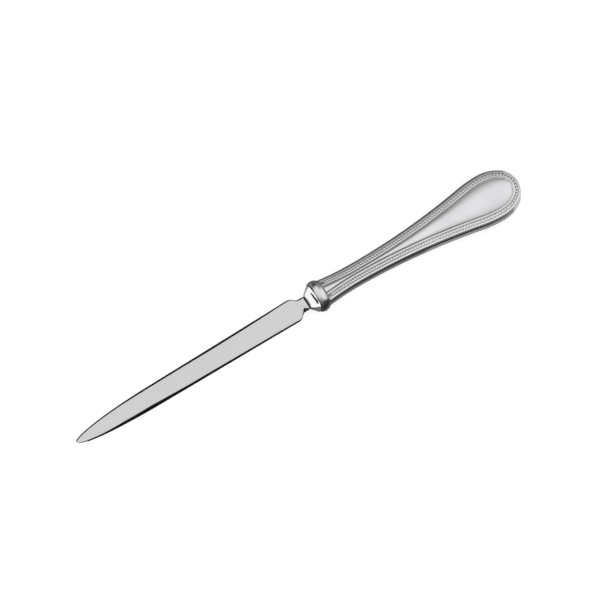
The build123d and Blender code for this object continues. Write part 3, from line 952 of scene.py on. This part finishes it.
# %% Blade values and sections
BLADE_LENGTH = 104.4
SHOULDER_LENGTH = 4.4
NECK_LENGTH = 1.7
BOLSTER_LENGTH = 4.1
FORGING_LENGTH = BLADE_LENGTH + SHOULDER_LENGTH + NECK_LENGTH + BOLSTER_LENGTH
NOSE_LENGTH = 41.0
NOSE_HALF = 4.4
SHOULDER_HALF = 4.85
NECK_HALF = 2.82
TIP_HALF_THICK = 0.8
NECK_HALF_THICK = 1.0
EDGE_HALF_THICK = 0.08
BLADE_SET = math.radians(1.5)
FACE_STEPS = 30
BEVEL_POINTS = 3
RING_POINTS = 2 * (FACE_STEPS - 1 + 2 * BEVEL_POINTS)

# Widest bevel as a share of the half width, how fast the face thickens behind the tip,
# and the film on the tang
BEVEL_LIMIT = 0.9
TIP_SLOPE = 0.3
TANG_FILM = 0.3

# Distance from the tip with the width of each bevel, and with its slope in degrees
NEAR_BEVEL = [
    (0, 0.16), (3, 0.28), (6, 0.4), (12, 0.56), (22, 1.08), (34, 1.34), (42, 1.1), (51, 0.83),
    (67, 0.71), (84, 0.55), (94, 0.49), (100, 0.39), (104.4, 0.3), (106.2, 0.35), (107.6, 1.0),
    (108.8, 1.42), (110.3, 0.35), (110.5, 0.3),
]
FAR_BEVEL = [
    (0, 0.55), (6, 0.6), (12, 0.62), (22, 0.68), (34, 0.86), (51, 0.88), (67, 1.02), (84, 0.93),
    (94, 0.77), (100, 0.6), (110.5, 0.6),
]
NEAR_SLOPE = [(0, 50), (2.1, 47), (9, 46), (14, 35), (110, 34)]
FAR_SLOPE = [(0, 37), (9, 36), (14, 30), (110, 28)]


def face_half(u):
    """Half thickness of the blade at a distance from the tip."""
    return TIP_HALF_THICK + (NECK_HALF_THICK - TIP_HALF_THICK) * u / FORGING_LENGTH


def blade_ring(u, half, face):
    """One section of the blade, from the far edge over the front to the near edge and back."""
    near = min(between(u, NEAR_BEVEL), BEVEL_LIMIT * half)
    far = min(between(u, FAR_BEVEL), BEVEL_LIMIT * half)
    near_drop = near * math.tan(math.radians(between(u, NEAR_SLOPE)))
    far_drop = far * math.tan(math.radians(between(u, FAR_SLOPE)))
    face = min(face, EDGE_HALF_THICK + far_drop + TIP_SLOPE * (half - far))
    near_edge = max(EDGE_HALF_THICK, face - near_drop)
    far_edge = max(EDGE_HALF_THICK, face - far_drop)
    front = [(half, far_edge), (half - far / 2, (far_edge + face) / 2), (half - far, face)]
    for step in range(1, FACE_STEPS):
        share = step / FACE_STEPS
        front.append((half - far - share * (2 * half - far - near), face))
    front += [(near - half, face), (near / 2 - half, (near_edge + face) / 2), (-half, near_edge)]
    under = [(y, -z) for y, z in reversed(front)]
    turn_y, turn_x = math.sin(BLADE_SET), math.cos(BLADE_SET)
    x = u - FORGING_LENGTH
    return [
        (X_COLLAR + x * turn_x - y * turn_y, x * turn_y + y * turn_x, z, 0.0)
        for y, z in front + under
    ]


def rounded(value, fullness):
    """A sine or cosine bent outwards: 2 leaves an oval as it is, and more makes it squarer."""
    return math.copysign(abs(value) ** (2 / fullness), value)


def ring_angles():
    """Angles of the points of a section that isn't the blade's."""
    return [2 * math.pi * (step + 0.5) / RING_POINTS for step in range(RING_POINTS)]


def bolster_ring(x, half, thick, fullness, patina_and_shade, side_shaded=False):
    """A rounded section. A side-shaded one gets its darkening mostly at the sides, as painted
    shade.
    """
    y_middle = (x - X_COLLAR) * math.tan(BLADE_SET) if x < X_COLLAR else 0.0
    ring = []
    for angle in ring_angles():
        y = half * rounded(math.cos(angle), fullness)
        z = thick * rounded(math.sin(angle), fullness)
        tarnish_and_shade = patina_and_shade * side_shade_share(angle, JOINT_SHADE_START) if side_shaded else patina_and_shade
        ring.append((x, y_middle + y, z, tarnish_and_shade))
    return ring


def bar_ring(x, half):
    """A rectangular section of the tang."""
    return [(x, *on_rectangle(angle, half), TANG_FILM) for angle in ring_angles()]


print("points in a section:", RING_POINTS)

# %% Forging mesh
TIP_FLAT = 0.02
NOSE_STEPS = 70
STRAIGHT_STEPS = 40
SHOULDER_STEPS = 24
NECK_STEPS = 6
NECK_SWELL = 0.6
FLARE_STEPS = 28
BLADE_CREASE = 20

# The bolster's half width and half thickness at the lip, its front, and how square it is at both
LIP_HALF = COLLAR_HALF - 1.05
LIP_HALF_THICK = COLLAR_HALF_THICK - 1.0
BOLSTER_FRONT_THICK = 1.9
FRONT_FULLNESS = 3.4
LIP_FULLNESS = 2.8

# Places of the fine groove at the neck and of the flare behind it, from the bolster's front,
# and the length of the lip
GROOVE_START = 0.03
GROOVE_END = 0.65
FLARE_EDGE = 0.68
FLARE_START = 0.73
LIP_LENGTH = 0.45

# Depth of that groove at the edges and on the faces, the small step out of it and the painted
# shade there, and the powers by which the flare's width and thickness grow
NECK_GROOVE = (0.15, 0.45)
FLARE_STEP = 0.05
FLARE_EDGE_SHADE = 0.6
WIDTH_GROWTH = 0.9
THICKNESS_GROWTH = 1.3

# Distance before the collar, inset and darkening of the rows round the lip: tarnish in the
# joint, with painted shade at the sides
LIP_ROWS = [(0.36, 0.0, 0.6), (0.14, 0.06, 1.0), (0.05, 0.15, 1.0), (0.0, 0.4, 1.0)]

# The tang's end, and half its width and thickness at the collar and at the end
TANG_END = X_MOUTH + 46.0
TANG_FRONT_HALF = (2.1, 1.4)
TANG_END_HALF = (1.5, 1.0)


def blade_rings():
    """Sections from the tip to the neck."""
    rings = []
    for step in range(NOSE_STEPS + 1):
        u = TIP_FLAT + (NOSE_LENGTH - TIP_FLAT) * (step / NOSE_STEPS) ** 2
        half = NOSE_HALF * math.sqrt(1 - (1 - u / NOSE_LENGTH) ** 2)
        rings.append(blade_ring(u, half, face_half(u)))
    for step in range(1, STRAIGHT_STEPS + 1):
        share = step / STRAIGHT_STEPS
        u = NOSE_LENGTH + (BLADE_LENGTH - NOSE_LENGTH) * share
        half = NOSE_HALF + (SHOULDER_HALF - NOSE_HALF) * share
        rings.append(blade_ring(u, half, face_half(u)))
    # In plan each shoulder is a cubic Bezier curve with handles of half its length
    for step in range(1, SHOULDER_STEPS + 1):
        t = step / SHOULDER_STEPS
        u = BLADE_LENGTH + SHOULDER_LENGTH * (1.5 * t - 1.5 * t**2 + t**3)
        half = SHOULDER_HALF + (NECK_HALF - SHOULDER_HALF) * t * t * (3 - 2 * t)
        rings.append(blade_ring(u, half, face_half(u)))
    for step in range(1, NECK_STEPS + 1):
        share = step / NECK_STEPS
        u = BLADE_LENGTH + SHOULDER_LENGTH + NECK_LENGTH * share
        rings.append(blade_ring(u, NECK_HALF, face_half(u) + NECK_SWELL * share))
    return rings


def bolster_rings():
    """Sections of the trumpet: a fine groove at the neck, the flare, the lip and its back."""
    x_front = X_COLLAR - BOLSTER_LENGTH
    groove_half = NECK_HALF - NECK_GROOVE[0]
    groove_thick = BOLSTER_FRONT_THICK - NECK_GROOVE[1]
    edge_thick = BOLSTER_FRONT_THICK - FLARE_STEP
    rings = [
        # Painted shade: the fine groove at the neck is coloured black, and the step out of it dark
        bolster_ring(x_front + GROOVE_START, groove_half, groove_thick, FRONT_FULLNESS, 1.0),
        bolster_ring(x_front + GROOVE_END, groove_half, groove_thick, FRONT_FULLNESS, 1.0),
        bolster_ring(x_front + FLARE_EDGE, NECK_HALF, edge_thick, FRONT_FULLNESS, FLARE_EDGE_SHADE),
    ]
    flare_start = x_front + FLARE_START
    flare_length = BOLSTER_LENGTH - FLARE_START - LIP_LENGTH
    half_rise = LIP_HALF - NECK_HALF - FLARE_STEP
    thick_rise = LIP_HALF_THICK - BOLSTER_FRONT_THICK
    for step in range(FLARE_STEPS + 1):
        share = step / FLARE_STEPS
        half = NECK_HALF + FLARE_STEP + half_rise * share**WIDTH_GROWTH
        thick = BOLSTER_FRONT_THICK + thick_rise * share**THICKNESS_GROWTH
        fullness = FRONT_FULLNESS + (LIP_FULLNESS - FRONT_FULLNESS) * share
        rings.append(bolster_ring(flare_start + flare_length * share, half, thick, fullness, 0.0))
    for back, inset, patina_and_shade in LIP_ROWS:
        half, thick = LIP_HALF - inset, LIP_HALF_THICK - inset
        rings.append(bolster_ring(X_COLLAR - back, half, thick, LIP_FULLNESS, patina_and_shade, side_shaded=True))
    return rings


def forging():
    """Blade, bolster and tang as one closed skin."""
    tang = [bar_ring(X_COLLAR, TANG_FRONT_HALF), bar_ring(TANG_END, TANG_END_HALF)]
    form = skin(blade_rings() + bolster_rings() + tang, rolled=False, finish=0.0)
    return finish_mesh("blade_forging", form, POLISHED_STEEL, BLADE_CREASE)


blade = forging()
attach(blade, "root")
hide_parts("blade")
print(blade.name, len(blade.data.vertices), "points")

# %% [markdown]
# ## Inside the handle
# The solder along the seam and the cement round the tang keep their CAD shapes, because they are
# plain and never seen. They still get finishes of their own: the solder is dull and a little
# uneven, and the cement is grainy.

# %% Solder and cement
PORE_HEIGHT = 0.0001


def rough_material(name, dark, light, size, rough, metallic, bump):
    """An uneven matt surface whose colour goes from dark to light with a cloudy texture."""
    material = bpy.data.materials.new(name)
    tree = node_tree(material)
    marks = place_group(tree, HANDLING, Size=size)
    colour = add(tree, "ShaderNodeMix", data_type="RGBA")
    colour.inputs["A"].default_value = (*dark, 1)
    colour.inputs["B"].default_value = (*light, 1)
    gloss = add(tree, "ShaderNodeMapRange", inputs={"To Min": rough[0], "To Max": rough[1]})
    relief = add(tree, "ShaderNodeBump", inputs={"Strength": bump, "Distance": PORE_HEIGHT})
    shader = add(tree, "ShaderNodeBsdfPrincipled", inputs={"Metallic": metallic})
    output = add(tree, "ShaderNodeOutputMaterial")
    tree.links.new(marks.outputs["Marks"], colour.inputs["Factor"])
    tree.links.new(colour.outputs["Result"], shader.inputs["Base Color"])
    tree.links.new(marks.outputs["Marks"], gloss.inputs["Value"])
    tree.links.new(gloss.outputs[0], shader.inputs["Roughness"])
    tree.links.new(marks.outputs["Marks"], relief.inputs["Height"])
    tree.links.new(relief.outputs[0], shader.inputs["Normal"])
    tree.links.new(shader.outputs[0], output.inputs["Surface"])
    return material


INSIDE = {
    "seam_solder": rough_material(
        "dull_solder", dark=(0.55, 0.53, 0.46), light=(0.72, 0.7, 0.62),
        size=700, rough=(0.4, 0.6), metallic=1.0, bump=0.4,
    ),
    "cement_fill": rough_material(
        "handle_cement", dark=(0.32, 0.28, 0.24), light=(0.55, 0.5, 0.43),
        size=500, rough=(0.8, 0.95), metallic=0.0, bump=0.6,
    ),
}
for node, material in INSIDE.items():
    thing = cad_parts[node]
    thing.data.materials.clear()
    thing.data.materials.append(material)
    print(node, "gets", material.name)
